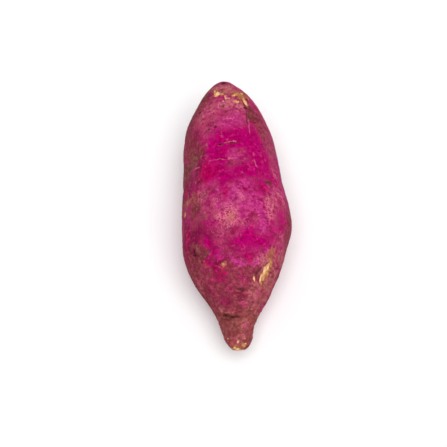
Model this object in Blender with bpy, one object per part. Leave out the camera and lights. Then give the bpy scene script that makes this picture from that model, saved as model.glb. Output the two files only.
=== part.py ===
"""A sweet potato, lying on its belly on a flat surface.

The root grew as one piece, so it is one object. Its long axis runs along Y, from the thin tail at -Y
to the blunt crown, where the vine was cut off, at +Y. Z is up, and the belly rests on Z = 0.
Units are metres.

The skin starts as a UV sphere. Each of its rings becomes one cross-section of the root: the rings
follow an outline through a few stations, and lobes, swellings, hollows and creases are then raised
on it or sunk into it by formulas.
"""

import math

import bmesh
import bpy
import numpy as np
from mathutils import Matrix, Vector, noise

# Driving dimensions
LENGTH = 0.176
WIDTH = 0.0690
HEIGHT = 0.0620

MM = 0.001
NAME = "sweet_potato"

# Fineness of the skin: rings along the root, and sides round it
RINGS = 88
SIDES = 64

# The outline. Each station is a cross-section, and its columns are: distance from the tail's tip, as
# a share of the length; half width and half height, as shares of half the width and half the height;
# how far its middle stands to the side, as a share of the width; and how high, as a share of the height.
STATIONS = (
    (0.000, 0.00, 0.00, 0.01, 0.27),
    (0.004, 0.09, 0.10, 0.01, 0.27),
    (0.012, 0.17, 0.18, 0.01, 0.27),
    (0.033, 0.23, 0.25, 0.01, 0.28),
    (0.08, 0.29, 0.32, 0.00, 0.29),
    (0.12, 0.37, 0.39, 0.01, 0.31),
    (0.17, 0.51, 0.53, 0.02, 0.34),
    (0.21, 0.64, 0.65, 0.01, 0.38),
    (0.26, 0.78, 0.77, 0.01, 0.41),
    (0.34, 0.92, 0.90, 0.02, 0.47),
    (0.41, 0.98, 0.97, 0.05, 0.49),
    (0.48, 0.97, 1.00, 0.05, 0.49),
    (0.55, 0.92, 0.99, 0.04, 0.49),
    (0.62, 0.89, 0.96, 0.03, 0.48),
    (0.68, 0.87, 0.92, 0.03, 0.48),
    (0.75, 0.83, 0.87, 0.02, 0.49),
    (0.82, 0.75, 0.77, 0.01, 0.52),
    (0.88, 0.62, 0.63, 0.02, 0.53),
    (0.93, 0.45, 0.47, 0.02, 0.55),
    (0.97, 0.26, 0.28, 0.01, 0.57),
    (0.993, 0.12, 0.13, 0.01, 0.58),
    (1.000, 0.00, 0.00, 0.01, 0.58),
)

# Lobes that run along the root, as waves round the section: number of lobes, depth as a share of the
# radius, turn at the tail in degrees, and twist from tail to crown in degrees
LOBES = (
    (3, 0.012, 40.0, 60.0),
    (4, 0.010, 10.0, -50.0),
    (5, 0.018, 69.0, 30.0),
)

# Soft unevenness of the whole skin: size of a swelling, and its height
SWELLING_SIZE = 26 * MM
SWELLING_HEIGHT = 1.0 * MM

# Hollows: share of the length, angle round the root, half length along it, half width round it, and
# depth. The angle is 0 on the +X side, 90 on top and 270 on the belly. A negative depth is a swelling.
HOLLOWS = (
    (0.650, 149, 11 * MM, 9 * MM, 2.0 * MM),
    (0.730, 49, 24 * MM, 4.5 * MM, 1.1 * MM),
    (0.645, 12, 12 * MM, 9 * MM, 0.9 * MM),
    (0.312, 150, 4.5 * MM, 4.5 * MM, 1.4 * MM),
    (0.237, 41, 8.0 * MM, 4.0 * MM, 0.9 * MM),
    (0.178, 82, 4.0 * MM, 5.5 * MM, 0.9 * MM),
    (0.841, 95, 3.5 * MM, 3.5 * MM, 0.8 * MM),
    (0.752, 110, 3.5 * MM, 3.5 * MM, 0.8 * MM),
    (0.074, 18, 3.5 * MM, 4.0 * MM, 0.9 * MM),
    (0.560, 215, 5.0 * MM, 5.0 * MM, 1.3 * MM),
    (0.760, 250, 4.5 * MM, 5.0 * MM, 1.2 * MM),
    (0.330, 305, 5.0 * MM, 5.0 * MM, 1.2 * MM),
    (0.690, 325, 4.5 * MM, 4.5 * MM, 1.1 * MM),
    (0.480, 352, 4.0 * MM, 4.5 * MM, 0.9 * MM),
    (0.250, 235, 9.0 * MM, 7.0 * MM, 1.2 * MM),
    (0.840, 200, 10 * MM, 7.0 * MM, 1.2 * MM),
    (0.895, 58, 6.0 * MM, 6.0 * MM, -0.9 * MM),
    (0.420, 72, 16 * MM, 11 * MM, -0.8 * MM),
)

# Creases, which run part of the way round the root: share of the length, angle at the middle, half
# angle, half width, and depth
CREASES = (
    (0.685, 90, 16, 1.6 * MM, 0.9 * MM),
    (0.622, 107, 18, 1.5 * MM, 0.4 * MM),
    (0.104, 120, 46, 1.8 * MM, 1.1 * MM),
    (0.072, 74, 26, 1.4 * MM, 0.5 * MM),
    (0.150, 300, 38, 1.9 * MM, 1.0 * MM),
    (0.830, 292, 24, 1.8 * MM, 0.8 * MM),
    (0.590, 186, 16, 1.6 * MM, 0.7 * MM),
    (0.450, 338, 15, 1.6 * MM, 0.6 * MM),
)

# How far a crease wavers along the root, and how fast, in radians from its middle to its end
WAVER = 0.6 * MM
WAVER_TURN = 4.0

# Where the root is thinner than this, all the relief above grows gentler
THIN_RADIUS = WIDTH / 8

# The broken tip of the tail: how far its ragged end reaches, and how rough it is
TIP_REACH = 2.2 * MM
TIP_ROUGHNESS = 0.7 * MM
TIP_GRAIN = 4.0 * MM

# The skin: magenta red, satin
SKIN_COLOUR = (0.37, 0.035, 0.105, 1.0)
SKIN_ROUGHNESS = 0.5


def clear_scene():
    for obj in list(bpy.data.objects):
        bpy.data.objects.remove(obj, do_unlink=True)


def rings_through(stations, count):
    """Evenly spaced rows of a smooth curve through the stations, both ends among them."""
    points = np.array(stations)
    outline = points[:, :2] * (LENGTH, WIDTH / 2)
    knots = np.concatenate([[0], np.cumsum(np.linalg.norm(np.diff(outline, axis=0), axis=1))])
    slopes = np.gradient(points, knots, axis=0)
    rows = []
    for place in np.linspace(0, knots[-1], count):
        i = min(np.searchsorted(knots, place, side="right") - 1, len(knots) - 2)
        span = knots[i + 1] - knots[i]
        t = (place - knots[i]) / span
        rows.append(
            (2 * t**3 - 3 * t**2 + 1) * points[i]
            + (t**3 - 2 * t**2 + t) * span * slopes[i]
            + (3 * t**2 - 2 * t**3) * points[i + 1]
            + (t**3 - t**2) * span * slopes[i + 1]
        )
    return rows


def angle_between(angle, other):
    """How far one angle is from another, in degrees, the short way round."""
    return (angle - other + 180) % 360 - 180


def lobes(along, angle):
    """The lobes' share of the radius at this place."""
    return sum(
        depth * math.cos(math.radians(count * angle + turn + twist * along))
        for count, depth, turn, twist in LOBES
    )


def hollows(along, angle, radius):
    """How deep the hollows are at this place."""
    depth = 0.0
    for place, middle, half_length, half_width, deepest in HOLLOWS:
        lengthwise = (along - place) * LENGTH / half_length
        round_it = math.radians(angle_between(angle, middle)) * radius / half_width
        depth += deepest * math.exp(-(lengthwise**2) - round_it**2)
    return depth


def creases(along, angle):
    """How deep the creases are at this place. They waver, and run out at both ends."""
    depth = 0.0
    for place, middle, half_angle, half_width, deepest in CREASES:
        turned = angle_between(angle, middle) / half_angle
        if abs(turned) >= 1:
            continue
        waver = WAVER * math.sin(WAVER_TURN * turned + middle)
        lengthwise = ((along - place) * LENGTH + waver) / half_width
        depth += deepest * math.exp(-(lengthwise**2)) * (1 - turned**2)
    return depth


def skin_point(row, angle):
    """The point of the skin on this ring at this angle, with the tail's tip at Y = 0."""
    along, half_width, half_height, sideways, middle = row
    half_width *= WIDTH / 2
    half_height *= HEIGHT / 2
    around = Vector((math.cos(math.radians(angle)), 0, math.sin(math.radians(angle))))
    centre = Vector((sideways * WIDTH, along * LENGTH, middle * HEIGHT))
    point = centre + Vector((around.x * half_width, 0, around.z * half_height))
    radius = (point - centre).length

    relief = lobes(along, angle) * radius
    relief += SWELLING_HEIGHT * noise.noise(point / SWELLING_SIZE)
    relief -= hollows(along, angle, radius) + creases(along, angle)
    relief *= min(1.0, radius / THIN_RADIUS)
    point += around * relief

    raggedness = noise.noise(point / TIP_GRAIN) * TIP_ROUGHNESS
    point.y += raggedness * math.exp(-((along * LENGTH / TIP_REACH) ** 2))
    return point


def skin_mesh():
    """The root's skin, closed, with its lowest part pressed flat at Z = 0."""
    bm = bmesh.new()
    bmesh.ops.create_uvsphere(bm, u_segments=SIDES, v_segments=RINGS, radius=1)
    rows = rings_through(STATIONS, RINGS + 1)
    for vert in bm.verts:
        ring = round((1 - math.acos(max(-1, min(1, vert.co.z))) / math.pi) * RINGS)
        angle = math.degrees(math.atan2(-vert.co.y, vert.co.x)) % 360
        vert.co = skin_point(rows[ring], angle)
        vert.co.z = max(vert.co.z, 0)
    mesh = bpy.data.meshes.new(NAME)
    bm.to_mesh(mesh)
    bm.free()
    mesh.shade_smooth()
    return mesh


def centre_on_base(mesh):
    """Puts the origin at the middle of the bounding box's base."""
    points = np.array([vert.co for vert in mesh.vertices])
    middle = (points.min(axis=0) + points.max(axis=0)) / 2
    mesh.transform(Matrix.Translation((-middle[0], -middle[1], -points[:, 2].min())))


def skin_material():
    material = bpy.data.materials.new("skin")
    material.use_nodes = True
    shader = material.node_tree.nodes["Principled BSDF"]
    shader.inputs["Base Color"].default_value = SKIN_COLOUR
    shader.inputs["Roughness"].default_value = SKIN_ROUGHNESS
    shader.inputs["Metallic"].default_value = 0.0
    material.diffuse_color = SKIN_COLOUR
    return material


def build():
    clear_scene()
    collection = bpy.data.collections.new("Sweet potato")
    bpy.context.scene.collection.children.link(collection)
    mesh = skin_mesh()
    centre_on_base(mesh)
    mesh.materials.append(skin_material())
    collection.objects.link(bpy.data.objects.new(NAME, mesh))


build()
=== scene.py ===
"""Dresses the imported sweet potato: a fine skin over its solid, with its relief, colours and markings,
then the floor, the lights and the camera.

Metres, in the part's own frame: +Y runs from the thin tail to the blunt crown, and +Z is up. A mark
that shows in the photograph is placed by its pixel there, and is cast through the camera onto the
solid. Any other place on the skin is a share of the length, 0 at the tail's tip and 1 at the crown's,
and an angle round the root in degrees, 0 on the +X side, 90 on top and 270 on the belly.
"""

import math
import random
from collections import namedtuple

import bpy
import numpy as np
from mathutils import Matrix, Vector, noise
from mathutils.bvhtree import BVHTree

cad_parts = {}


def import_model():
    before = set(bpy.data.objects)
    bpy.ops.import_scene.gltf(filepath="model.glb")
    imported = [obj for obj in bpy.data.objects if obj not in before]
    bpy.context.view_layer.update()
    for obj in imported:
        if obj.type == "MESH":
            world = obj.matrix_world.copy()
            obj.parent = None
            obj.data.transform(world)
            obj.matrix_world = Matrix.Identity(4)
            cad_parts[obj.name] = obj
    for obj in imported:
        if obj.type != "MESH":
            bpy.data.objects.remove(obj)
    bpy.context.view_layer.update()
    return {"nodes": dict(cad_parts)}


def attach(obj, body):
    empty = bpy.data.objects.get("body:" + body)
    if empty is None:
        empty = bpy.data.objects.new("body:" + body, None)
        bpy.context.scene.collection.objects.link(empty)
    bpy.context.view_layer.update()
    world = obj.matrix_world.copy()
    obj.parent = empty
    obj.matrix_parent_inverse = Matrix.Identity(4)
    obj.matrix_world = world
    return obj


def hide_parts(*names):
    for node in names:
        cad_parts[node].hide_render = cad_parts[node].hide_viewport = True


MM = 0.001
NODE = "sweet_potato"

# Fineness of the skin: rows along the root and columns round it
ROWS = 318
COLUMNS = 290

# The skin is cast from a spine inside the root: how far inside the tail's and the crown's tips it ends,
# how thick the slices are that its points are the middles of, the share of rows that fan out over
# each end, and the lines along the root that the rows' distances are measured on
TAIL_INSIDE = 8 * MM
CROWN_INSIDE = 17 * MM
SLICE = 8 * MM
SPINE_POINTS = 24
FAN = 0.12
LINES = 8

# Passes that smooth the solid's facets away
SMOOTHING = 9

# The photograph's width and height in pixels, and the camera. The lens and the sensor are in millimetres.
FRAME = 447
LENS = 100
SENSOR = 36
CAMERA_DISTANCE = 0.7746
CAMERA_AIM = Vector((-0.0080, -0.0082, 0.0273))
CAMERA_ELEVATION = math.radians(66)
CAMERA_ROLL = math.radians(-3.4)

# The marks that show in the photograph, in pixels of its frame with Y downwards.
# Columns: X and Y of the middle, half width, half height, tilt in degrees from the root's own line,
# and strength
SPOTS = {
    "scar": (
        (217.3, 94.2, 3.5, 2.3, 0, 1.1),
        (215.2, 91.2, 0.8, 1.7, 15, 0.9),
        (221.4, 94.2, 2.3, 1.2, 0, 0.9),
        (234.6, 94.9, 3.3, 1.2, 14, 1.1),
        (236.6, 101.2, 2.7, 1.2, -8, 1),
        (245.2, 344.2, 1.4, 1, 0, 0.7),
        (234.4, 347.6, 2.6, 0.8, 0, 0.8),
        (241.6, 93.4, 1.2, 0.6, 0, 0.5),
    ),
    "peach": (
        (225.4, 97.3, 1, 2.4, 0, 1),
        (222.9, 101, 1.4, 0.8, 0, 0.7),
        (237.9, 341.8, 1.4, 1.3, 0, 0.9),
        (228.3, 338.8, 1.2, 0.6, 0, 0.6),
        (239.4, 349, 2.4, 0.7, 0, 0.4),
        (245.2, 339, 0.8, 0.7, 0, 0.5),
        (229, 98, 1.8, 0.6, 0, 0.5),
        (223.2, 264.4, 1.3, 1, 0, 0.15),
    ),
    "ochre": (
        (240.4, 97.4, 3.2, 1.6, 22, 1),
        (239.9, 101.9, 1.9, 1.1, 0, 0.9),
        (223.2, 264.6, 2.4, 1.9, 0, 1.1),
        (244.2, 345.6, 2.6, 1.8, 0, 0.9),
        (235, 347.6, 4.4, 1.3, 0, 0.9),
        (221, 90.5, 2.6, 0.9, 0, 0.5),
        (243.6, 103.8, 0.8, 1.2, 0, 0.6),
        (229.5, 90, 1.4, 0.8, 0, 0.5),
        (246.2, 95.4, 1.2, 0.9, 0, 0.7),
    ),
    "pit": (
        (222.8, 106, 1.6, 1.1, 0, 1),
        (214.7, 126.6, 1.7, 1.7, 0, 1.3),
        (261.8, 144.6, 0.9, 1, 0, 0.8),
        (194, 250.5, 1.1, 2.8, 0, 0.9),
        (194.6, 255.3, 1.7, 1.7, 0, 1),
        (245.6, 108, 1.5, 1.1, 0, 0.8),
        (222.2, 89.2, 1.6, 1.1, 0, 0.4),
        (219.6, 143.6, 2.2, 1.1, 0, 0.5),
        (208.6, 124.6, 1.1, 1.1, 0, 0.6),
        (208.4, 130, 1.1, 1.1, 0, 0.7),
        (211.5, 122, 1.1, 0.6, 0, 0.3),
        (204.6, 133, 0.9, 0.8, 0, 0.3),
        (199.5, 112.5, 1, 0.8, 0, 0.5),
        (201.6, 262.6, 1.4, 0.8, 0, 0.5),
        (238.4, 332.6, 2, 0.6, 0, 0.5),
        (224.6, 315.4, 4.4, 1.1, 0, 0.6),
        (234.6, 316.4, 5, 0.8, 0, 0.55),
        (187.6, 215, 0.5, 0.7, 0, 0.6),
        (243.2, 192.4, 0.8, 0.7, 0, 0.4),
        (229.6, 341.2, 0.9, 0.8, 0, 0.4),
        (240, 289.2, 3.4, 0.9, 0, 0.25),
        (223.5, 82.6, 3.4, 0.9, 0, 0.9),
    ),
    "pale": (
        (224.2, 118.3, 1.1, 0.6, 0, 1),
        (230.6, 117.6, 0.9, 0.5, 0, 0.8),
        (229, 158.4, 1.6, 1.2, 0, 0.7),
    ),
    "vivid": (
        (230, 137.5, 17, 8, 0, 1),
        (213.5, 151.5, 9.5, 13, 0, 1),
        (236, 144.5, 11, 5, 0, 0.8),
        (256, 149, 8, 21, 0, 1),
        (266, 168, 6, 11, 0, 0.9),
        (223, 156, 6, 9, 0, 0.8),
        (248.5, 238.5, 10.5, 7, 0, 1),
        (263, 241, 9, 6, 0, 0.8),
        (205.5, 241, 4, 6, 0, 0.6),
        (283, 222, 5, 12, 0, 0.6),
        (247, 254, 4, 4, 0, 0.6),
        (243, 190, 5, 4, 0, 0.5),
        (250, 171, 8, 9, 0, 0.9),
        (222, 186, 5, 5, 0, 0.4),
        (222, 172, 8, 6, 0, 0.6),
        (227, 177, 12, 4, 0, 0.8),
        (268, 163, 4, 7, 0, 0.5),
        (236, 243, 7, 6, 0, 0.5),
        (242, 252, 8, 4, 0, 0.3),
        (226, 182, 8, 6, 0, 0.4),
        (240, 168, 7, 6, 0, 0.5),
        (240, 132, 16, 6, 0, 0.4),
        (250, 228, 10, 5, 0, 0.35),
        (233, 146, 8, 4, 0, 0.4),
        (196, 238, 5, 6, 0, 0.3),
        (262, 187, 8, 7, 0, 0.4),
        (275, 180, 5, 6, 0, 0.4),
        (271, 234, 6, 8, 0, 0.45),
        (236, 168, 6, 5, 0, 0.6),
        (278, 168, 4, 7, 0, 0.5),
    ),
    "red": (
        (214, 170, 11, 8, 0, 1),
        (264, 188, 4.5, 5, 0, 1),
        (221, 272, 10, 8, 0, 0.55),
        (209, 264, 5, 4, 0, 0.6),
        (276, 181, 2.6, 6, 0, 0.8),
        (251, 257, 6, 7, 0, 0.7),
        (280, 201, 3, 5, 0, 0.6),
        (212, 283, 4, 3, 0, 0.6),
        (224, 194, 6, 8, 0, 0.7),
        (206, 168, 4, 8, 0, 0.6),
        (212, 170, 12, 7, 0, 0.4),
        (188, 238, 4, 9, 0, 0.5),
        (187, 192, 3, 8, 0, 0.4),
    ),
    # The violet patches are partly violet skin and partly a painted highlight: the lighter lilac band over
    # the upper middle.
    "violet_and_highlight": (
        (235, 154, 6, 5.6, 0, 1.1),
        (232, 123, 11, 6, 0, 0.8),
        (236, 112, 7, 5, 0, 0.6),
        (255, 166, 5, 6, 0, 0.8),
        (246, 182, 9, 9, 0, 0.7),
        (256, 200, 9, 9, 0, 0.8),
        (263, 221, 5, 8, 0, 0.8),
        (259, 215, 4, 4, 0, 0.8),
        (216, 188, 3, 10, 0, 0.6),
        (216, 256, 6, 6, 0, 0.6),
        (236, 257, 9, 4.5, 0, 0.9),
        (243, 263, 8, 3, 0, 0.6),
        (236, 166, 5, 7, 0, 0.6),
        (269, 239, 4, 6, 0, 0.7),
        (220.4, 98.6, 1.6, 1.2, 0, 0.9),
        (232, 196, 10, 8, 0, 0.9),
        (240, 203, 9, 6, 0, 0.6),
        (264, 228, 7, 5, 0, 0.5),
        (247, 214, 8, 5, 0, 0.4),
        (256, 260, 5, 6, 0, 0.6),
        (280, 192, 6, 8, 0, 0.6),
        (267, 251, 4, 5, 0, 0.6),
        (220, 204, 5, 6, 0, 0.6),
        (229, 190, 5, 5, 0, 0.4),
        (245, 216, 5, 5, 0, 0.5),
        (258, 264, 4, 4, 0, 0.5),
        (233, 192, 5, 5, 0, 0.4),
    ),
    # The wine patches are partly darker blotches of the skin and partly painted shade: the tall, narrow
    # strips down the left and right edges.
    "wine_and_shade": (
        (221, 276, 11, 10, 0, 0.7),
        (187, 187, 4.5, 13, 0, 1),
        (196.5, 138, 5, 12, 0, 0.8),
        (200.5, 181, 5.5, 5, 0, 0.9),
        (249, 112, 3, 7, 0, 0.7),
        (246, 107.5, 2, 2.2, 0, 0.9),
        (196, 231, 6, 9, 0, 0.6),
        (211, 292, 7, 6, 0, 0.6),
        (228, 302, 11, 9, 0, 0.8),
        (240.5, 290, 6.5, 3, 0, 0.8),
        (253, 186, 3, 4, 0, 0.6),
        (251, 127, 3, 7, 0, 0.5),
        (285, 208, 3, 12, 0, 0.5),
        (232, 317, 10, 3, 0, 0.6),
        (185.6, 168, 2.2, 12, 0, 0.8),
        (188, 128, 2.2, 14, 0, 0.8),
        (184.4, 222, 2, 12, 0, 0.7),
        (186, 260, 2.5, 9, 0, 0.7),
        (187, 238, 4, 12, 0, 1),
        (201, 167, 5, 9, 0, 0.8),
        (228, 244, 10, 8, 0, 0.6),
        (212, 234, 9, 8, 0, 0.5),
        (196, 238, 7, 9, 0, 0.6),
        (224, 259, 8, 7, 0, 0.6),
        (258, 181, 5, 4, 0, 0.6),
        (216, 263, 7, 7, 0, 0.7),
        (208, 258, 6, 8, 0, 0.5),
        (283, 226, 4, 8, 0, 0.6),
        (220, 217, 5, 5, 0, 0.3),
        (207, 242, 6, 9, 0, 0.5),
        (197, 170, 4, 7, 0, 0.5),
        (210, 150, 8, 8, 0, 0.4),
        (190, 241, 5, 7, 0, 0.6),
        (211, 241, 4, 6, 0, 0.4),
        (240, 241, 8, 5, 0, 0.5),
        (246, 262, 5, 6, 0, 0.4),
        (244, 276, 6, 7, 0, 0.6),
        (280, 230, 6, 8, 0, 0.4),
        (213, 252, 5, 5, 0, 0.5),
        (252, 252, 5, 5, 0, 0.5),
        (206, 155, 6, 6, 0, 0.5),
        (252, 204, 5, 5, 0, 0.3),
        (188, 189, 4, 10, 0, 0.5),
        (236, 234, 13, 7, 0, 0.3),
        (229, 228, 6, 5, 0, 0.5),
        (244, 180, 6, 5, 0, 0.3),
        (213, 156, 6, 7, 0, 0.4),
        (252, 253, 5, 5, 0, 0.4),
        (205, 289, 5, 5, 0, 0.3),
        (216, 149, 8, 7, 0, 0.3),
        (248, 226, 8, 5, 0, 0.3),
        (262, 155, 8, 6, 0, 0.3),
        (190, 196, 4, 8, 0, 0.4),
        (187, 240, 4, 9, 0, 0.8),
        (236, 180, 7, 4, 0, 0.4),
        (218, 204, 4, 5, 0, 0.5),
        (218, 216, 3, 5, 0, 0.5),
    ),
    "net": (
        (232, 215.5, 6.5, 7, 0, 1.2),
        (270, 203, 6, 9, 0, 1),
        (271, 217, 5, 6, 0, 0.9),
        (216, 200, 6, 6, 0, 0.5),
        (226, 205, 5, 6, 0, 0.6),
        (245, 221, 8, 6, 0, 0.6),
        (236, 273, 7, 5, 0, 0.3),
        (209, 272, 6, 4, 0, 0.5),
        (275, 174, 3, 6, 0, 0.6),
        (280, 238, 4, 6, 0, 0.6),
        (211, 284, 5, 5, 0, 0.6),
        (226, 226, 9, 8, 0, 0.4),
        (236, 199, 6, 5, 0, 0.5),
        (266, 268, 7, 9, 0, 0.6),
        (279, 196, 6, 10, 0, 0.6),
        (258, 262, 5, 6, 0, 0.8),
        (252, 300, 6, 6, 0, 0.7),
        (201, 288, 4, 6, 0, 0.8),
        (226, 102, 8, 5, 0, 0.8),
        (236, 108, 8, 5, 0, 0.8),
        (212, 112, 7, 6, 0, 0.6),
        (204, 118, 5, 6, 0, 0.4),
        (216, 88.5, 5, 3.5, 0, 0.8),
        (229, 87.5, 7, 4, 0, 0.9),
        (221, 216, 5, 5, 0, 0.6),
        (216, 216, 6, 6, 0, 0.4),
        (236, 214, 6, 6, 0, 0.5),
        (200, 194.5, 5, 6, 0, 0.6),
        (231, 214, 7, 8, 0, 0.5),
        (240, 193, 8, 6, 0, 0.5),
        (203, 206, 4, 6, 0, 0.3),
    ),
    # The dusk patches are partly darker, browner skin and partly painted shade: the tall strips down both
    # edges and on the right upper side, where the skin turns away from the light.
    "dusk_and_shade": (
        (191, 148, 6, 15, 0, 0.9),
        (190.5, 122, 5, 14, 0, 0.7),
        (204, 98, 7, 7, 0, 0.8),
        (198, 250, 10, 13, 0, 0.8),
        (193, 213, 8, 14, 0, 0.8),
        (193, 273, 6, 12, 0, 0.8),
        (203, 290, 9, 9, 0, 0.7),
        (253, 114, 6, 10, 0, 0.7),
        (264, 126, 4, 10, 0, 0.5),
        (234, 88, 6, 4, 0, 0.5),
        (184, 196, 3, 16, 0, 0.9),
        (197.5, 108, 4, 8, 0, 0.8),
        (210, 306, 4, 8, 0, 0.8),
        (283, 200, 4, 12, 0, 0.5),
        (288, 222, 3, 10, 0, 0.5),
        (226, 326, 4, 9, 0, 0.6),
        (200, 153, 5, 10, 0, 0.8),
        (197, 263, 9, 9, 0, 0.7),
        (288, 232, 4, 14, 0, 0.6),
        (223, 84, 6, 1.5, 0, 0.6),
        (189, 250, 5, 10, 0, 0.6),
        (236, 289, 5, 5, 0, 0.5),
        (240, 312, 6, 5, 0, 0.5),
        (259, 301, 4, 7, 0, 0.6),
        (237, 312, 5, 5, 0, 0.6),
        (196, 195, 5, 8, 0, 0.5),
        (212, 229, 6, 5, 0, 0.4),
        (202, 228, 4, 5, 0, 0.4),
    ),
    # The haze patches are partly dusty skin and partly a painted sheen: the greyish, washed-out strips
    # along the right edge.
    "haze_and_sheen": (
        (268, 139, 5, 14, 0, 1),
        (275, 155, 4, 9, 0, 1),
        (260, 119, 5, 8, 0, 0.6),
        (203, 193.5, 6, 4.5, 0, 0.9),
        (279, 168, 3, 8, 0, 0.7),
        (228, 110, 7, 5, 0, 0.5),
        (287, 240, 4, 13, 0, 0.8),
        (212.5, 301, 3, 5, 0, 0.6),
        (283, 262, 3, 14, 0, 0.6),
        (221, 222, 8, 6, 0, 0.4),
        (228, 332, 5, 7, 0, 0.6),
        (213, 216, 6, 6, 0, 0.4),
        (214, 122, 8, 6, 0, 0.5),
        (201, 270, 5, 8, 0, 0.4),
    ),
    "blush": (
        (223, 87.5, 8, 4, 0, 0.8),
        (281, 260, 5, 15, 0, 0.9),
        (269, 286, 8, 11, 0, 1),
        (258, 300, 8, 9, 0, 0.8),
        (245, 326, 4, 8, 0, 0.9),
        (209, 107, 7, 7, 0, 0.6),
        (241, 338, 8, 4, 0, 0.8),
        (196, 283, 4, 6, 0, 0.6),
        (200, 119, 4, 7, 0, 0.5),
        (256, 288, 7, 9, 0, 0.7),
        (226, 100, 6, 5, 0, 0.6),
        (268, 262, 7, 9, 0, 0.6),
        (238, 282, 5, 4, 0, 0.2),
        (238, 298, 7, 6, 0, 0.5),
        (224, 91, 14, 5, 0, 0.5),
        (235, 106, 9, 5, 0, 0.6),
        (222, 306, 8, 7, 0, 0.5),
        (268, 288, 4, 7, 0, 0.5),
        (220, 311, 5, 6, 0, 0.6),
        (222, 87, 9, 4, 0, 0.7),
        (236, 92, 6, 4, 0, 0.5),
        (262, 262, 5, 6, 0, 0.6),
        (201, 287, 5, 6, 0, 0.6),
        (266, 290, 5, 7, 0, 0.6),
        (254, 302, 6, 7, 0, 0.5),
        (228, 214, 6, 6, 0, 0.4),
        (266.5, 284, 4, 8, 0, 0.6),
    ),
    "brown": (
        # The first two brown patches, in the dent on the left flank, are painted shade
        (193, 162, 7, 9, 0, 1),
        (187, 175, 3.5, 8, 0, 0.8),
        (196, 252, 7, 8, 0, 0.8),
        (205, 255, 5, 5, 0, 0.6),
        (207.5, 127.5, 5, 6, 0, 0.5),
        (209, 92, 4, 4, 0, 0.7),
        (219.5, 315, 3, 6, 0, 0.9),
        (227, 317, 6, 4, 0, 0.6),
        (249.5, 116, 3, 4.5, 0, 0.7),
        (196, 207, 4, 4, 0, 0.5),
        (269, 182, 4.5, 1.6, 0, 0.7),
        (241, 289.5, 5, 1.8, 0, 0.8),
        (235, 325, 6, 7, 0, 0.6),
        (226, 251.5, 4, 3, 0, 0.5),
        (237, 234.8, 2.8, 1.6, 0, 0.6),
        (216, 304, 3.5, 5, 0, 0.6),
        (258, 272, 4, 3.2, 0, 1),
        (226, 332, 3, 6, 0, 0.6),
        (223, 84, 6, 1.2, 0, 0.6),
        (214, 87.5, 4, 1.6, 0, 0.6),
        (204, 219, 6, 6, 0, 0.5),
        (196, 195, 4, 8, 0, 0.5),
    ),
    "tan": (
        (195, 195, 2.6, 6, 0, 0.5),
        (223, 265, 2.2, 2.2, 0, 0.8),
        (268, 273, 4.5, 8, 0, 0.6),
        (263, 288, 3.5, 6, 0, 0.5),
        (187, 203, 2.8, 4, 0, 0.9),
        (239, 346.5, 8, 2.6, 0, 0.6),
        (231, 215, 3.5, 4, 0, 0.5),
        (240, 97, 5, 3.5, 0, 0.5),
        (240, 94, 7, 6, 0, 0.8),
        (227, 92, 9, 6, 0, 0.5),
        (270.5, 255, 5, 9, 0, 0.7),
    ),
}

# Long marks, placed the same way. Columns: X and Y of one end, X and Y of the other, half width, and
# strength
STROKES = {
    "scar": (
        (243.2, 98.2, 248, 107.8, 1.15, 1.05),
        (269, 263, 261.2, 279, 2.5, 0.75),
        (262.5, 272, 259.4, 282.5, 1.4, 0.9),
        (264.5, 276, 263, 281, 0.8, 0.8),
        (253.4, 275.6, 254.8, 281, 0.9, 0.9),
        (185.2, 212.2, 184.9, 217.2, 0.8, 0.7),
    ),
    "peach": (
        # A painted highlight: the pale line along the upper lip of the slit across the top
        (228, 142.1, 237, 141.3, 0.5, 0.25),
    ),
    "ochre": (
        (271.6, 263, 268.4, 271, 0.9, 0.5),
        (238.2, 92.2, 247, 98, 1.9, 0.9),
        (247.4, 97.6, 249.2, 101, 0.6, 0.8),
        (270.5, 261, 259.8, 284.5, 3.8, 0.9),
    ),
    "pit": (
        (242, 98.6, 246, 107, 0.5, 0.6),
        (245.2, 96.6, 249.2, 104, 0.5, 0.7),
        (258, 272, 254.6, 274.6, 0.8, 0.5),
    ),
    "slit": (
        (262.8, 265.5, 257, 274.5, 0.9, 0.9),
        (217.6, 143.9, 224.6, 142.9, 1, 1),
        (227, 143.8, 240.6, 142.6, 0.5, 0.7),
        (219.5, 315.4, 242, 316.6, 1.5, 1),
        (220.6, 318.8, 232, 319.8, 0.9, 0.9),
        (264.4, 181.6, 273.4, 182, 1.3, 1),
        (247.4, 311, 254, 311.2, 0.4, 0.6),
        (235.6, 289, 246.4, 289.6, 1.3, 0.8),
        (246, 109, 248, 126, 0.6, 0.5),
        (241, 97.6, 244.5, 104, 0.5, 0.7),
    ),
    "pale": (
        (222.5, 143, 230, 142, 0.5, 0.6),
        (207, 160.4, 230, 158.2, 0.6, 0.9),
        (248.6, 119, 250.2, 136, 0.5, 0.6),
        (253.4, 157, 258, 171, 0.5, 0.7),
        (248.2, 308.6, 254.4, 309, 0.6, 0.9),
        (240.6, 301.6, 246.4, 301.4, 0.4, 0.6),
        (221, 118.9, 236, 117.2, 0.4, 0.6),
        (192, 171, 200.5, 165.6, 0.5, 0.7),
        (232, 104.8, 241, 105.2, 0.4, 0.5),
        (222, 312.8, 236, 311.8, 0.4, 0.6),
        (230, 157.9, 241, 157, 0.5, 0.6),
    ),
    "vivid": (
        (205, 234, 215, 264, 5.5, 0.7),
    ),
    "wine_and_shade": (
        (203, 226, 210, 244, 3, 0.5),
    ),
    # Painted shade on the right upper side, beyond the ridge, where the skin turns away from the light
    "dusk_and_shade": (
        (251, 112, 266, 148, 4, 0.7),
    ),
    "blush": (
        (275, 284, 256, 312, 3, 0.8),
    ),
    "brown": (
        (207, 93, 198, 108, 1.6, 0.6),
        (249, 108, 255, 128, 2.5, 0.6),
    ),
    "tan": (
        (276, 246, 268, 262, 2.6, 0.7),
    ),
}

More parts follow.
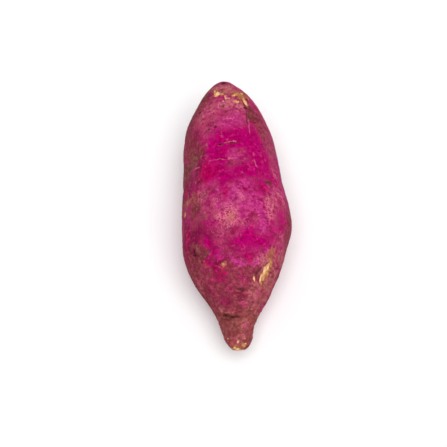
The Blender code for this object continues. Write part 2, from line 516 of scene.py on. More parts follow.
# Marks at the tips and along the sides, which the photograph shows edge-on or not at all. Columns:
# share of the length, angle, half length and half width in millimetres, tilt, and strength
SIDE_MARKS = {
    "scar": ((0.001, 200, 1.4, 1.8, 0, 0.7),),
    "ochre": ((0.002, 270, 3.6, 3.6, 0, 0.9),),
    "pit": (
        (0.990, 92, 1.6, 2.6, 0, 1.0),
        (0.998, 270, 1.6, 1.6, 0, 0.9),
    ),
    "brown": ((0.997, 270, 5.0, 5.0, 0, 1.0),),
    # The dusk marks down both flanks are painted shade, where the sides turn away from the light
    "dusk_and_shade": (
        (0.300, 182, 20.0, 6.0, 0, 0.8),
        (0.620, 182, 24.0, 7.0, 0, 0.9),
        (0.820, 180, 14.0, 7.0, 0, 0.8),
        (0.450, 357, 22.0, 7.0, 0, 0.7),
        (0.200, 350, 12.0, 6.0, 0, 0.6),
        (0.720, 358, 16.0, 6.0, 0, 0.6),
    ),
}

# Marks scattered over the belly, which the photograph doesn't show: the ranges of their angles, tilts
# and shares of the length. The table's columns: how many, then the smallest and largest half length,
# half width and strength.
SEED = 7
HIDDEN_ANGLES = (206, 334)
HIDDEN_TILTS = (-15, 15)
HIDDEN_ALONG = (0.12, 0.93)
HIDDEN_MARKS = {
    "scar": (5, (0.7, 2.6), (0.6, 1.4), (0.6, 1.0)),
    "peach": (6, (0.5, 1.2), (0.5, 2.0), (0.6, 1.0)),
    "ochre": (8, (0.7, 3.5), (0.6, 1.8), (0.6, 1.0)),
    "pit": (18, (0.6, 1.2), (0.7, 1.5), (0.5, 1.0)),
    "slit": (9, (0.5, 0.7), (3.0, 8.0), (0.6, 1.0)),
    "pale": (8, (0.45, 0.5), (3.0, 8.0), (0.4, 0.9)),
    "vivid": (16, (4, 12), (4, 10), (0.6, 1.0)),
    "red": (9, (3, 7), (3, 7), (0.6, 1.0)),
    "violet_and_highlight": (12, (3, 9), (3, 9), (0.5, 0.9)),
    "wine_and_shade": (12, (4, 10), (3, 7), (0.5, 0.9)),
    "net": (14, (4, 9), (4, 8), (0.5, 1.0)),
    "dusk_and_shade": (8, (6, 14), (4, 8), (0.6, 0.9)),
    "haze_and_sheen": (8, (4, 12), (3, 6), (0.5, 0.9)),
    "blush": (8, (4, 10), (4, 7), (0.5, 0.9)),
    "brown": (12, (2, 7), (2, 6), (0.5, 0.9)),
    "tan": (7, (2, 5), (2, 4), (0.4, 0.8)),
}

# Marks with an edge. All the others are soft patches of colour.
SHARP = ("scar", "peach", "ochre", "pit", "slit", "pale")

# How large the bends in the marks' edges are, and how far they reach. The noises for X, Y and Z are the
# same one, read this many bends apart.
SHARP_WARP = (2.0 * MM, 0.60 * MM)
SOFT_WARP = (9.0 * MM, 3.0 * MM)
WARP_SHIFTS = (0, 17, 31)

# The least half size of a mark, how many times its size it reaches into the root, and the skin that a
# pixel covers where a mark goes past the outline on both sides
LEAST_SIZE = 0.45 * MM
MARK_DEPTH = 3
EDGE_PIXEL = 0.8 * MM

# The cone is duller than the rest, and the tail is browner: where each starts and is complete
CONE = (0.32, 0.20)
TAIL = (0.16, 0.09)

# Relief: size of the lumps and how high they stand
LUMPS = (
    (11 * MM, 0.30 * MM),
    (4.5 * MM, 0.12 * MM),
    (1.8 * MM, 0.05 * MM),
)

# Wrinkles round the root: size, stretch and height, and how many times as high again on the tail
WRINKLE_SIZE = 1.7 * MM
WRINKLE_STRETCH = 0.12
WRINKLE_HEIGHT = 0.10 * MM
TAIL_WRINKLES = 3.0

# Fine growth creases: size, stretch, width and depth, and where a wide noise lets them show
CREASE_SIZE = 7 * MM
CREASE_STRETCH = 0.22
CREASE_EDGE = 0.07
CREASE_DEPTH = 0.16 * MM
CREASE_PLACES = (0.0, 0.25)

# Scars: where in their field they start to sink and are sunk, their depth, and the lip round them
SCAR_EDGE = (0.0, 0.4)
SCAR_DEPTH = 0.45 * MM
SCAR_LIP = 0.18 * MM
SCAR_LIP_WIDTH = 0.25

# Other marks in the relief: where in its field each starts and is complete, and its depth
DEPTHS = {
    "pit": (-0.3, 0.8, 0.80 * MM),
    "slit": (-0.6, 0.7, 0.60 * MM),
    "pale": (-0.2, 0.6, -0.08 * MM),
}

Skin = namedtuple("Skin", "points normals along")
Mark = namedtuple("Mark", "middle axes strength")


def camera_axes():
    """The camera's directions to the right, up, and backwards."""
    back = Vector((0, -math.cos(CAMERA_ELEVATION), math.sin(CAMERA_ELEVATION)))
    level = Vector((1, 0, 0))
    lifted = back.cross(level)
    right = level * math.cos(CAMERA_ROLL) + lifted * math.sin(CAMERA_ROLL)
    up = lifted * math.cos(CAMERA_ROLL) - level * math.sin(CAMERA_ROLL)
    return right, up, back


def spine_of(points):
    """The middles of slices through the root, from tail to crown, as columns of X, Y and Z."""
    first = points[:, 1].min() + TAIL_INSIDE
    last = points[:, 1].max() - CROWN_INSIDE
    middles = []
    for y in np.linspace(first, last, SPINE_POINTS):
        cut = points[np.abs(points[:, 1] - y) < SLICE / 2]
        middle = (cut.min(axis=0) + cut.max(axis=0)) / 2
        middles.append((middle[0], y, middle[2]))
    return np.array(middles)


def cast(tree, spine, share, angle):
    """The point of the solid that a ray from the spine meets. Share 0 points at the tail's tip, and 1 at
    the crown's."""
    lean = max(0, share - 1 + FAN) / FAN - max(0, FAN - share) / FAN
    place = min(max((share - FAN) / (1 - 2 * FAN), 0), 1) * (SPINE_POINTS - 1)
    origin = [np.interp(place, range(SPINE_POINTS), spine[:, axis]) for axis in range(3)]
    lean *= math.pi / 2
    out = math.cos(lean)
    direction = Vector((out * math.cos(angle), math.sin(lean), out * math.sin(angle)))
    return tree.ray_cast(Vector(origin), direction)[0]


def even_shares(tree, spine):
    """Shares whose rows lie at even distances over the skin."""
    shares = np.linspace(0, 1, 2 * ROWS)
    travelled = np.zeros(len(shares))
    for angle in np.linspace(0, 2 * math.pi, LINES, endpoint=False):
        line = np.array([cast(tree, spine, share, angle) for share in shares])
        travelled[1:] += np.cumsum(np.linalg.norm(np.diff(line, axis=0), axis=1))
    return np.interp(np.linspace(0, travelled[-1], ROWS + 1), travelled, shares)


def smoothed(grid):
    """The grid with each point drawn towards its neighbours, along the root and round it."""
    for _ in range(SMOOTHING):
        grid = grid / 2 + (np.roll(grid, 1, axis=1) + np.roll(grid, -1, axis=1)) / 4
        grid[1:-1] = grid[1:-1] / 2 + (grid[:-2] + grid[2:]) / 4
    grid[0] = grid[0].mean(axis=0)
    grid[-1] = grid[-1].mean(axis=0)
    return grid


def normals_of(grid):
    """The directions that point out of the skin, one for each point of the grid."""
    lengthwise = np.gradient(grid, axis=0)
    round_it = np.roll(grid, -1, axis=1) - np.roll(grid, 1, axis=1)
    round_it[0] = round_it[1]
    round_it[-1] = round_it[-2]
    normals = np.cross(lengthwise, round_it)
    normals /= np.linalg.norm(normals, axis=2, keepdims=True)
    normals[0] = (0, -1, 0)
    normals[-1] = (0, 1, 0)
    return normals


def skin_of(grid):
    y = grid[:, :, 1]
    return Skin(grid, normals_of(grid), (y - y.min()) / np.ptp(y))


def noise_over(points, size, stretch=1.0):
    """Noise between about -1 and 1 at each point. A stretch under 1 draws it out round the root."""
    places = points * (stretch / size, 1 / size, stretch / size)
    values = [noise.noise(Vector(place)) for place in places.reshape(-1, 3)]
    return np.array(values).reshape(points.shape[:2])


def warped(points, size, amount):
    """The points, each moved a little by noise, which makes the marks' edges uneven."""
    moves = [noise_over(points + shift * size, size) for shift in WARP_SHIFTS]
    return points + amount * np.stack(moves, axis=2)


def seen(tree, x, y):
    """The place on the solid that shows at this pixel of the photograph, or None beside it."""
    right, up, back = camera_axes()
    sight = right * (x - FRAME / 2) - up * (y - FRAME / 2) - back * (FRAME * LENS / SENSOR)
    return tree.ray_cast(CAMERA_AIM + back * CAMERA_DISTANCE, sight)[0]


def half_size(tree, middle, pixel, offset):
    """How far from its middle a mark reaches that goes this far to both sides in the photograph."""
    ends = [seen(tree, pixel[0] + side * offset[0], pixel[1] + side * offset[1]) for side in (-1, 1)]
    return min(((end - middle).length for end in ends if end), default=max(offset) * EDGE_PIXEL)


def nearest(skin, point):
    """The row and column of the skin's point that is nearest to this one."""
    gaps = np.linalg.norm(skin.points - np.array(point), axis=2)
    return np.unravel_index(gaps.argmin(), gaps.shape)


def place_of(skin, along, angle):
    """The row and column of the skin at this share of the length and this angle."""
    column = round(angle / 360 * COLUMNS) % COLUMNS
    return np.abs(skin.along[:, column] - along).argmin(), column


def axes_at(skin, row, column):
    """Directions at a point of the skin: towards the crown, round the root, and outward."""
    row = min(max(row, 1), ROWS - 1)
    forward = skin.points[row + 1, column] - skin.points[row - 1, column]
    forward /= np.linalg.norm(forward)
    outward = skin.normals[row, column]
    return forward, np.cross(outward, forward), outward


def mark_at(skin, place, half_length, half_width, tilt, strength):
    """A mark at this row and column of the skin. Its axes measure in shares of its size."""
    forward, across, outward = axes_at(skin, *place)
    half_length, half_width = max(half_length, LEAST_SIZE), max(half_width, LEAST_SIZE)
    long_way = forward * math.cos(tilt) + across * math.sin(tilt)
    cross_way = across * math.cos(tilt) - forward * math.sin(tilt)
    depth = MARK_DEPTH * max(half_length, half_width)
    axes = np.stack([long_way / half_length, cross_way / half_width, outward / depth], axis=1)
    return Mark(skin.points[place], axes, strength)


def spot_mark(skin, tree, spot):
    """The mark on the skin that is this spot in the photograph."""
    x, y, half_width, half_height, tilt, strength = spot
    middle = seen(tree, x, y)
    length = half_size(tree, middle, (x, y), (0, half_height))
    width = half_size(tree, middle, (x, y), (half_width, 0))
    return mark_at(skin, nearest(skin, middle), length, width, math.radians(tilt), strength)


def stroke_mark(skin, tree, stroke):
    """The mark on the skin that is this long mark in the photograph."""
    x1, y1, x2, y2, half_width, strength = stroke
    way = np.array(seen(tree, x2, y2) - seen(tree, x1, y1))
    pixel = ((x1 + x2) / 2, (y1 + y2) / 2)
    share = half_width / math.dist((x1, y1), (x2, y2))
    middle = seen(tree, *pixel)
    width = half_size(tree, middle, pixel, ((y2 - y1) * share, (x1 - x2) * share))
    place = nearest(skin, middle)
    forward, across, _ = axes_at(skin, *place)
    tilt = math.atan2(way @ across, way @ forward)
    return mark_at(skin, place, np.linalg.norm(way) / 2, width, tilt, strength)


def side_mark(skin, mark):
    """The mark at this share of the length and this angle."""
    along, angle, half_length, half_width, tilt, strength = mark
    place = place_of(skin, along, angle)
    return mark_at(skin, place, half_length * MM, half_width * MM, math.radians(tilt), strength)


def marks_of(skin, tree):
    """All the marks on the skin, by name."""
    made = {}
    for name, scattered in hidden_marks().items():
        made[name] = [spot_mark(skin, tree, spot) for spot in SPOTS.get(name, ())]
        made[name] += [stroke_mark(skin, tree, stroke) for stroke in STROKES.get(name, ())]
        made[name] += [side_mark(skin, mark) for mark in SIDE_MARKS.get(name, ()) + scattered]
    return made


def reach(places, mark):
    """How far each point is from a mark's middle, in shares of the mark's size: 1 is its edge."""
    return np.linalg.norm((places - mark.middle) @ mark.axes, axis=2)


def sharp_field(places, marks):
    """How far inside the nearest mark each point is: 1 in its middle, 0 on its edge, -1 well outside."""
    field = np.full(places.shape[:2], -1.0)
    for mark in marks:
        field = np.maximum(field, np.minimum(mark.strength, 1 - reach(places, mark)))
    return field


def soft_field(places, marks):
    """How strong the patches are at each point: 1 in the middle of a strong one, fading to 0."""
    field = np.zeros(places.shape[:2])
    for mark in marks:
        field += mark.strength * np.exp(-reach(places, mark) ** 2)
    return np.clip(field, 0, 1)


def smoothstep(values, low, high):
    t = np.clip((values - low) / (high - low), 0, 1)
    return t * t * (3 - 2 * t)


def hidden_marks():
    """Scattered marks by name, the same each time."""
    dice = random.Random(SEED)
    made = {}
    for name, (count, lengths, widths, strengths) in HIDDEN_MARKS.items():
        ranges = (HIDDEN_ALONG, HIDDEN_ANGLES, lengths, widths, HIDDEN_TILTS, strengths)
        made[name] = tuple(tuple(dice.uniform(*part) for part in ranges) for _ in range(count))
    return made


def crease_field(skin):
    """Fine growth creases that run round the root, each 1 in its middle, and none over half the skin."""
    lines = 1 - np.abs(noise_over(skin.points, CREASE_SIZE, CREASE_STRETCH)) / CREASE_EDGE
    here = smoothstep(noise_over(skin.points, 3 * CREASE_SIZE), *CREASE_PLACES)
    return np.clip(lines, 0, 1) * here


def fields_of(skin, tree):
    """The marks' fields by name."""
    sharp = warped(skin.points, *SHARP_WARP)
    soft = warped(skin.points, *SOFT_WARP)
    fields = {}
    for name, marks in marks_of(skin, tree).items():
        fields[name] = sharp_field(sharp, marks) if name in SHARP else soft_field(soft, marks)
    fields["crease"] = crease_field(skin)
    fields["cone"] = smoothstep(skin.along, *CONE)
    fields["tail"] = smoothstep(skin.along, *TAIL)
    return fields


def relief_of(skin, fields):
    """How far each point stands out of the smooth skin."""
    height = sum(rise * noise_over(skin.points, size) for size, rise in LUMPS)
    wrinkles = noise_over(skin.points, WRINKLE_SIZE, WRINKLE_STRETCH)
    height += WRINKLE_HEIGHT * wrinkles * (1 + TAIL_WRINKLES * fields["tail"])
    height -= CREASE_DEPTH * fields["crease"]
    scar = np.maximum(fields["scar"], fields["ochre"])
    height -= SCAR_DEPTH * smoothstep(scar, *SCAR_EDGE) * (1 - fields["tail"])
    height += SCAR_LIP * np.exp(-((scar / SCAR_LIP_WIDTH) ** 2))
    for name, (start, end, depth) in DEPTHS.items():
        height -= depth * smoothstep(fields[name], start, end)
    return height


def mesh_of(grid, fields):
    """The grid as a closed mesh, one point at each tip, carrying the fields as attributes."""
    inner = grid[1:-1].reshape(-1, 3)
    points = np.concatenate([grid[:1, 0], inner, grid[-1:, 0]])
    last = len(points) - 1
    turn = np.arange(COLUMNS)
    following = (turn + 1) % COLUMNS
    faces = [(0, 1 + a, 1 + b) for a, b in zip(turn, following)]
    for row in range(ROWS - 2):
        near = 1 + row * COLUMNS
        far = near + COLUMNS
        faces += [(near + a, far + a, far + b, near + b) for a, b in zip(turn, following)]
    near = 1 + (ROWS - 2) * COLUMNS
    faces += [(near + a, last, near + b) for a, b in zip(turn, following)]
    mesh = bpy.data.meshes.new("skin")
    mesh.from_pydata(points.tolist(), [], faces)
    for name, field in fields.items():
        values = np.concatenate([field[:1, 0], field[1:-1].ravel(), field[-1:, 0]])
        mesh.attributes.new(name, "FLOAT", "POINT").data.foreach_set("value", values)
    mesh.shade_smooth()
    return mesh


def solid_of(obj):
    """The node's solid: a tree to cast rays at, and its points."""
    points = np.array([vert.co for vert in obj.data.vertices])
    faces = [tuple(face.vertices) for face in obj.data.polygons]
    return BVHTree.FromPolygons(points.tolist(), faces), points


def make_skin(obj):
    tree, points = solid_of(obj)
    spine = spine_of(points)
    shares = even_shares(tree, spine)
    angles = np.linspace(0, 2 * math.pi, COLUMNS, endpoint=False)
    grid = np.array([[cast(tree, spine, share, angle) for angle in angles] for share in shares])
    skin = skin_of(smoothed(grid))
    fields = fields_of(skin, tree)
    relief = relief_of(skin, fields)
    grid = skin.points + skin.normals * relief[:, :, None]
    grid[:, :, 2] = np.maximum(grid[:, :, 2], 0)
    piece = bpy.data.objects.new("potato_skin", mesh_of(grid, fields))
    bpy.context.scene.collection.objects.link(piece)
    return piece


# How far the stretched noises are bent, and the size of the bends
BEND = 7 * MM
BEND_SIZE = 15 * MM

# How far the other noises are turned, in radians, and how much further about Y for each metre of size
TURN = (0.6, 0.9, 0.4)
TURN_BY_SIZE = 100


class Shader:
    """Short names for making a material's nodes."""

    def __init__(self, name):
        self.material = bpy.data.materials.new(name)
        self.material.use_nodes = True
        self.tree = self.material.node_tree
        self.surface = self.tree.nodes["Principled BSDF"]
        self.place = self.node("ShaderNodeTexCoord").outputs["Object"]
        self.bent = self.bent_place()

    def node(self, kind, **settings):
        node = self.tree.nodes.new(kind)
        for key, value in settings.items():
            setattr(node, key, value)
        return node

    def put(self, socket, value):
        """Links another node's output to the socket, or sets it to a number or a colour."""
        if isinstance(value, bpy.types.NodeSocket):
            self.tree.links.new(value, socket)
        else:
            socket.default_value = value

    def field(self, name):
        return self.node("ShaderNodeAttribute", attribute_name=name).outputs["Fac"]

    def bent_place(self):
        """The place, moved a little by wide noise, so that stretched noise shows no straight lines."""
        wide = self.node("ShaderNodeTexNoise")
        self.put(wide.inputs["Vector"], self.place)
        wide.inputs["Scale"].default_value = 1 / BEND_SIZE
        shift = self.node("ShaderNodeVectorMath", operation="MULTIPLY_ADD")
        self.put(shift.inputs[0], wide.outputs["Color"])
        shift.inputs[1].default_value = (BEND, BEND, BEND)
        self.put(shift.inputs[2], self.place)
        return shift.outputs["Vector"]

    def noise(self, size, detail, rough, stretch=None):
        """Noise about 0.5, with features of this size in metres. Unless it is stretched, it is turned away
        from the axes, so that it shows no rows."""
        mapping = self.node("ShaderNodeMapping")
        self.put(mapping.inputs["Vector"], self.bent if stretch else self.place)
        mapping.inputs["Scale"].default_value = [part / size for part in stretch or (1, 1, 1)]
        if not stretch:
            x, y, z = TURN
            mapping.inputs["Rotation"].default_value = (x, y + TURN_BY_SIZE * size, z)
        noise_node = self.node("ShaderNodeTexNoise")
        self.put(noise_node.inputs["Vector"], mapping.outputs["Vector"])
        noise_node.inputs["Scale"].default_value = 1.0
        noise_node.inputs["Detail"].default_value = detail
        noise_node.inputs["Roughness"].default_value = rough
        return noise_node.outputs["Fac"]

    def swing(self, value, times):
        """A noise moved to lie about 0, and made this many times as strong."""
        return self.math("MULTIPLY", self.math("SUBTRACT", value, 0.5), times)

    def lines(self, size, width):
        """Thin winding lines: 1 where a noise is at its middle, 0 a little way off."""
        offset = self.math("ABSOLUTE", self.swing(self.noise(size, 3.0, 0.5), 1), 0.0)
        return self.step(offset, width, 0.0)

    def math(self, operation, first, second):
        node = self.node("ShaderNodeMath", operation=operation)
        self.put(node.inputs[0], first)
        self.put(node.inputs[1], second)
        return node.outputs["Value"]

    def step(self, value, low, high, to_low=0.0, to_high=1.0):
        """Turns low to to_low and high to to_high, smoothly between them."""
        node = self.node("ShaderNodeMapRange", interpolation_type="SMOOTHSTEP")
        self.put(node.inputs["Value"], value)
        node.inputs["From Min"].default_value = low
        node.inputs["From Max"].default_value = high
        node.inputs["To Min"].default_value = to_low
        node.inputs["To Max"].default_value = to_high
        return node.outputs["Result"]

    def mix(self, share, first, second):
        node = self.node("ShaderNodeMix", data_type="RGBA")
        self.put(node.inputs["Factor"], share)
        self.put(node.inputs["A"], first)
        self.put(node.inputs["B"], second)
        return node.outputs["Result"]

    def lighten(self, colour, factor):
        """The colour made this many times as light."""
        node = self.node("ShaderNodeHueSaturation")
        self.put(node.inputs["Color"], colour)
        self.put(node.inputs["Value"], factor)
        return node.outputs["Color"]

    def bump(self, height, distance, under=None):
        node = self.node("ShaderNodeBump")
        self.put(node.inputs["Height"], height)
        node.inputs["Distance"].default_value = distance
        if under:
            self.put(node.inputs["Normal"], under)
        return node.outputs["Normal"]


# Colours of the skin
MAGENTA = (0.372, 0.011, 0.110, 1)
ROSE = (0.367, 0.036, 0.098, 1)
PINK = (0.580, 0.075, 0.235, 1)
VIOLET = (0.405, 0.020, 0.168, 1)
DEEP = (0.230, 0.000, 0.055, 1)
WINE = (0.150, 0.004, 0.030, 1)
NET = (0.650, 0.165, 0.225, 1)
BROWN = (0.110, 0.026, 0.024, 1)
TAN = (0.440, 0.135, 0.085, 1)
CREAM = (0.860, 0.525, 0.268, 1)
OCHRE = (0.520, 0.250, 0.095, 1)
BARK = (0.280, 0.095, 0.045, 1)
PEACH = (0.790, 0.340, 0.260, 1)
PALE = (0.600, 0.130, 0.200, 1)
DARK = (0.035, 0.008, 0.010, 1)

# The noises that break up the colours: size of their features, detail, roughness, and stretch
NOISES = {
    "clouds": (14 * MM, 3.0, 0.60),
    "hue": (7 * MM, 5.0, 0.65),
    "mottle": (5 * MM, 6.0, 0.72),
    "specks": (2.4 * MM, 4.0, 0.72),
    "grain": (0.8 * MM, 2.0, 0.60),
    "rings": (1.2 * MM, 3.0, 0.60, (0.16, 1, 0.16)),
    "streaks": (1.4 * MM, 3.0, 0.60, (1, 0.20, 1)),
}

# Where a noise starts and ends to turn one value into another: in the two tones of a patch, in the tones
# of tan and ochre marks, in the light of the grain, and in the light of the specks and the roughness
PATCH_TONES = (0.40, 0.60)
MARK_TONES = (0.42, 0.58)
GRAIN_SPREAD = (0.30, 0.70)
SPECK_SPREAD = (0.35, 0.65)

# Colours laid over magenta in this order: the noise each follows, where in it the colour starts and is
# complete, and how opaque it is
LAYERS = (
    ("clouds", 0.40, 0.60, 1.00, ROSE),
    ("hue", 0.50, 0.62, 0.70, VIOLET),
    ("specks", 0.51, 0.66, 0.60, PINK),
    ("streaks", 0.56, 0.74, 0.35, PINK),
    ("mottle", 0.48, 0.36, 0.85, DEEP),
)

# The soft patches in the order they are laid on: their darker and lighter colour, where in its field
# each starts and is complete, and how opaque it is
PATCHES = {
    "cone": ((0.185, 0.022, 0.038, 1), (0.255, 0.046, 0.062, 1), 0.05, 0.75, 0.90),
    "tail": ((0.212, 0.045, 0.040, 1), (0.285, 0.074, 0.066, 1), 0.00, 0.70, 0.95),
    # Dusty skin, and a painted sheen along the right edge
    "haze_and_sheen": ((0.230, 0.034, 0.066, 1), (0.330, 0.064, 0.108, 1), 0.15, 0.75, 0.85),
    "blush": ((0.280, 0.058, 0.068, 1), (0.410, 0.118, 0.122, 1), 0.15, 0.75, 0.85),
    # Darker, browner skin, and painted shade on the flanks
    "dusk_and_shade": ((0.130, 0.018, 0.022, 1), (0.215, 0.044, 0.044, 1), 0.15, 0.80, 0.90),
    # Darker blotches of the skin, and painted shade down the edges
    "wine_and_shade": ((0.110, 0.002, 0.022, 1), (0.195, 0.006, 0.042, 1), 0.25, 0.90, 0.85),
    # Violet skin, and a painted highlight over the upper middle
    "violet_and_highlight": ((0.370, 0.010, 0.130, 1), (0.530, 0.048, 0.240, 1), 0.15, 0.80, 0.90),
    "red": ((0.340, 0.000, 0.062, 1), (0.440, 0.002, 0.090, 1), 0.10, 0.80, 1.00),
    "vivid": ((0.312, 0.000, 0.080, 1), (0.432, 0.000, 0.130, 1), 0.10, 0.75, 1.00),
    "brown": ((0.095, 0.022, 0.020, 1), (0.220, 0.066, 0.052, 1), 0.25, 0.85, 0.90),
}

# The noises that break up a patch's edge, and how strongly. The patches that cover a whole end have
# softer edges.
PATCH_EDGE = ("mottle", "hue", "specks")
END_EDGES = {"cone": ("hue",), "tail": ("hue",)}
RAGGEDNESS = 1.6

# Darker mottling over the patches, with the same columns as the layers
SHADES = (
    ("hue", 0.44, 0.34, 0.45, WINE),
    ("rings", 0.56, 0.74, 0.35, WINE),
)

# The pale net: its meshes' sizes, how wide its lines are, the noises at its edge, where in its field it
# starts and is complete, and how much of it shows in the rest of the skin and where it is marked
NET_SIZES = (3.0 * MM, 1.8 * MM)
NET_LINE = 0.06
NET_EDGE = ("mottle", "hue")
NET_PLACES = (0.0, 0.9)
NET_SHOWN = (0.08, 0.88)

# Vivid and red skin is clean: where in the field that starts and is complete, and the shares of the
# mottling and the net, and of the grain, that are left there. On the cone and the tail, this share of
# the net and the grain is left.
CLEAN_EDGE = (0.2, 0.9)
CLEAN_MOTTLING = 0.04
CLEAN_GRAIN = 0.45
END_GRAIN = 0.5

# How much the grain and the specks lighten and darken the skin, and where in their field and how
# strongly the creases darken it
GRAIN = 0.16
SPECKS = 0.10
CREASE_LINE = (0.3, 1.0)
CREASE_SHADE = 0.5

# Tan patches: the noises at their edge, where they start and are complete, and how opaque they are
TAN_EDGE = ("mottle", "specks", "streaks")
TAN_PATCH = (0.15, 1.0, 0.85)

# The marks with an edge in the order they are laid on: where in its field each starts and is complete,
# and how opaque it is
MARK_EDGES = {
    "pale": (-0.1, 0.5, 0.70),
    "slit": (-0.2, 0.4, 0.90),
    "ochre": (-0.1, 0.2, 0.90),
    "pit": (-0.1, 0.6, 0.95),
    "peach": (-0.1, 0.3, 0.85),
    "scar": (-0.15, 0.1, 1.00),
}

# How strongly streaks show in the scars, and where between their rim and their core they turn cream
STREAKINESS = 3.0
SCAR_CORE = (0.20, 0.80)

# The skin's surface: its roughness, which follows the mottling, its reflection, and its finest relief
ROUGHNESS = (0.46, 0.62)
REFLECTION = 0.01
GRAIN_RELIEF = 0.25 * MM
RING_RELIEF = 0.20 * MM


def ragged(s, noises, field, edge):
    """A soft field whose edge is broken up by the named noises."""
    value = s.field(field)
    for name in edge:
        value = s.math("ADD", value, s.swing(noises[name], RAGGEDNESS))
    return value


def patched(s, noises):
    """The skin's colour with its soft patches."""
    colour = MAGENTA
    for name, start, end, opacity, layer in LAYERS:
        colour = s.mix(s.step(noises[name], start, end, 0, opacity), colour, layer)
    for name, (dark, light, start, end, opacity) in PATCHES.items():
        value = ragged(s, noises, name, END_EDGES.get(name, PATCH_EDGE))
        patch = s.mix(s.step(noises["specks"], *PATCH_TONES), dark, light)
        colour = s.mix(s.step(value, start, end, 0, opacity), colour, patch)
    return colour


def mottled(s, noises, colour):
    """The colour with darker mottling, the pale net, the creases and the grain."""
    clean = s.math("MAXIMUM", s.field("vivid"), s.field("red"))
    calm = s.step(clean, *CLEAN_EDGE, 1, CLEAN_MOTTLING)
    quiet = s.step(s.math("MAXIMUM", s.field("cone"), s.field("tail")), 0, 1, 1, END_GRAIN)
    for name, start, end, opacity, shade in SHADES:
        shown = s.math("MULTIPLY", s.step(noises[name], start, end, 0, opacity), calm)
        colour = s.mix(shown, colour, shade)
    net = s.step(ragged(s, noises, "net", NET_EDGE), *NET_PLACES)
    lines = s.math("MAXIMUM", *[s.lines(size, NET_LINE) for size in NET_SIZES])
    shown = s.math("MULTIPLY", s.math("MULTIPLY", s.step(net, 0, 1, *NET_SHOWN), calm), quiet)
    colour = s.mix(s.math("MULTIPLY", lines, shown), colour, s.mix(net, PINK, NET))
    colour = s.mix(s.step(s.field("crease"), *CREASE_LINE, 0, CREASE_SHADE), colour, WINE)
    still = s.math("MULTIPLY", s.step(clean, *CLEAN_EDGE, 1, CLEAN_GRAIN), quiet)
    fleck = s.math("MULTIPLY", s.step(noises["grain"], *GRAIN_SPREAD, -GRAIN, GRAIN), still)
    colour = s.lighten(colour, s.math("ADD", fleck, 1))
    return s.lighten(colour, s.step(noises["specks"], *SPECK_SPREAD, 1 - SPECKS, 1 + SPECKS))


def marked(s, noises, colour):
    """The colour with the tan patches and the marks that have an edge."""
    start, end, opacity = TAN_PATCH
    patch = s.mix(s.step(noises["specks"], *MARK_TONES), BARK, TAN)
    value = ragged(s, noises, "tan", TAN_EDGE)
    colour = s.mix(s.step(value, start, end, 0, opacity), colour, patch)
    uneven = s.math("ADD", s.swing(noises["grain"], 1), s.swing(noises["specks"], RAGGEDNESS))
    streaky = s.math("ADD", uneven, s.swing(noises["streaks"], STREAKINESS))
    core = s.step(s.math("ADD", s.field("scar"), streaky), *SCAR_CORE)
    colours = {
        "pale": PALE,
        "slit": BROWN,
        "ochre": s.mix(s.step(noises["mottle"], *MARK_TONES), BARK, OCHRE),
        "pit": DARK,
        "peach": PEACH,
        "scar": s.mix(core, OCHRE, CREAM),
    }
    for name, (start, end, opacity) in MARK_EDGES.items():
        value = s.math("ADD", s.field(name), uneven)
        colour = s.mix(s.step(value, start, end, 0, opacity), colour, colours[name])
    return colour


def skin_material():
    s = Shader("sweet_potato_skin")
    noises = {name: s.noise(*settings) for name, settings in NOISES.items()}
    colour = marked(s, noises, mottled(s, noises, patched(s, noises)))
    s.put(s.surface.inputs["Base Color"], colour)
    s.put(s.surface.inputs["Roughness"], s.step(noises["mottle"], *SPECK_SPREAD, *ROUGHNESS))
    s.surface.inputs["Specular IOR Level"].default_value = REFLECTION
    fine = s.bump(s.math("ADD", noises["specks"], noises["grain"]), GRAIN_RELIEF)
    s.put(s.surface.inputs["Normal"], s.bump(noises["rings"], RING_RELIEF, fine))
    return s.material


# The floor's profile, as distances from its middle and heights: far away it curves up, as in a studio
FLOOR = ((0, 0), (14, 0), (17, 0.5), (19.5, 2.0), (21, 4.5), (21.5, 8))
FLOOR_SIDES = 64
FLOOR_COLOUR = (0.90, 0.90, 0.90, 1)
FLOOR_ROUGHNESS = 0.9
FLOOR_REFLECTION = 0.1

# The lights: where each shines from, how wide it is in degrees, and its power
SUNS = {
    "key": ((0.12, -0.30, 1.0), 60, 2.3),
    "fill": ((0.2, 0.9, 0.9), 80, 0.35),
}
SURROUND = 0.40


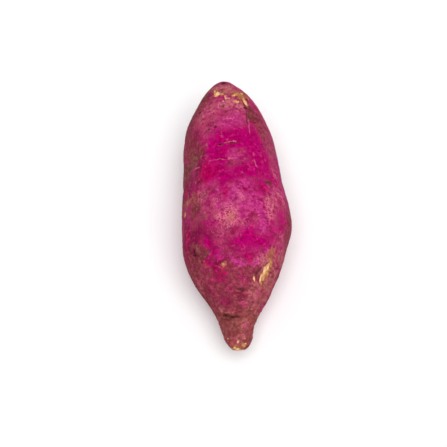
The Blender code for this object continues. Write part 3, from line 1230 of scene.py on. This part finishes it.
def make_floor():
    """A wide pale floor at the height that the belly rests on."""
    turns = np.linspace(0, 2 * math.pi, FLOOR_SIDES, endpoint=False)
    points = [(0, 0, 0)]
    for radius, height in FLOOR[1:]:
        points += [(radius * math.cos(turn), radius * math.sin(turn), height) for turn in turns]
    sides = [(a, (a + 1) % FLOOR_SIDES) for a in range(FLOOR_SIDES)]
    faces = [(0, 1 + a, 1 + b) for a, b in sides]
    for ring in range(len(FLOOR) - 2):
        near = 1 + ring * FLOOR_SIDES
        far = near + FLOOR_SIDES
        faces += [(near + a, far + a, far + b, near + b) for a, b in sides]
    mesh = bpy.data.meshes.new("floor")
    mesh.from_pydata(points, [], faces)
    mesh.shade_smooth()
    floor = bpy.data.objects.new("floor", mesh)
    bpy.context.scene.collection.objects.link(floor)
    s = Shader("pale_floor")
    s.surface.inputs["Base Color"].default_value = FLOOR_COLOUR
    s.surface.inputs["Roughness"].default_value = FLOOR_ROUGHNESS
    s.surface.inputs["Specular IOR Level"].default_value = FLOOR_REFLECTION
    mesh.materials.append(s.material)


def make_sun(name, towards, width, power):
    """A soft light that shines from this direction, the same all over the floor."""
    sun = bpy.data.objects.new(name, bpy.data.lights.new(name, "SUN"))
    sun.data.angle = math.radians(width)
    sun.data.energy = power
    sun.rotation_euler = Vector(towards).to_track_quat("Z", "Y").to_euler()
    bpy.context.scene.collection.objects.link(sun)


def make_lights():
    """Two soft suns, and even light from all round."""
    for name, (towards, width, power) in SUNS.items():
        make_sun(name, towards, width, power)
    world = bpy.data.worlds.new("studio")
    world.use_nodes = True
    world.node_tree.nodes["Background"].inputs["Color"].default_value = (1, 1, 1, 1)
    world.node_tree.nodes["Background"].inputs["Strength"].default_value = SURROUND
    bpy.context.scene.world = world


def make_camera():
    camera = bpy.data.objects.new("camera", bpy.data.cameras.new("camera"))
    camera.data.lens = LENS
    right, up, back = camera_axes()
    turned = Matrix((right, up, back)).transposed().to_4x4()
    camera.matrix_world = Matrix.Translation(CAMERA_AIM + back * CAMERA_DISTANCE) @ turned
    bpy.context.scene.collection.objects.link(camera)
    bpy.context.scene.camera = camera


def main():
    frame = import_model()
    skin = make_skin(frame["nodes"][NODE])
    skin.data.materials.append(skin_material())
    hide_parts(NODE)
    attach(skin, "root")
    make_floor()
    make_lights()
    make_camera()
    bpy.context.scene.view_settings.view_transform = "Standard"


main()
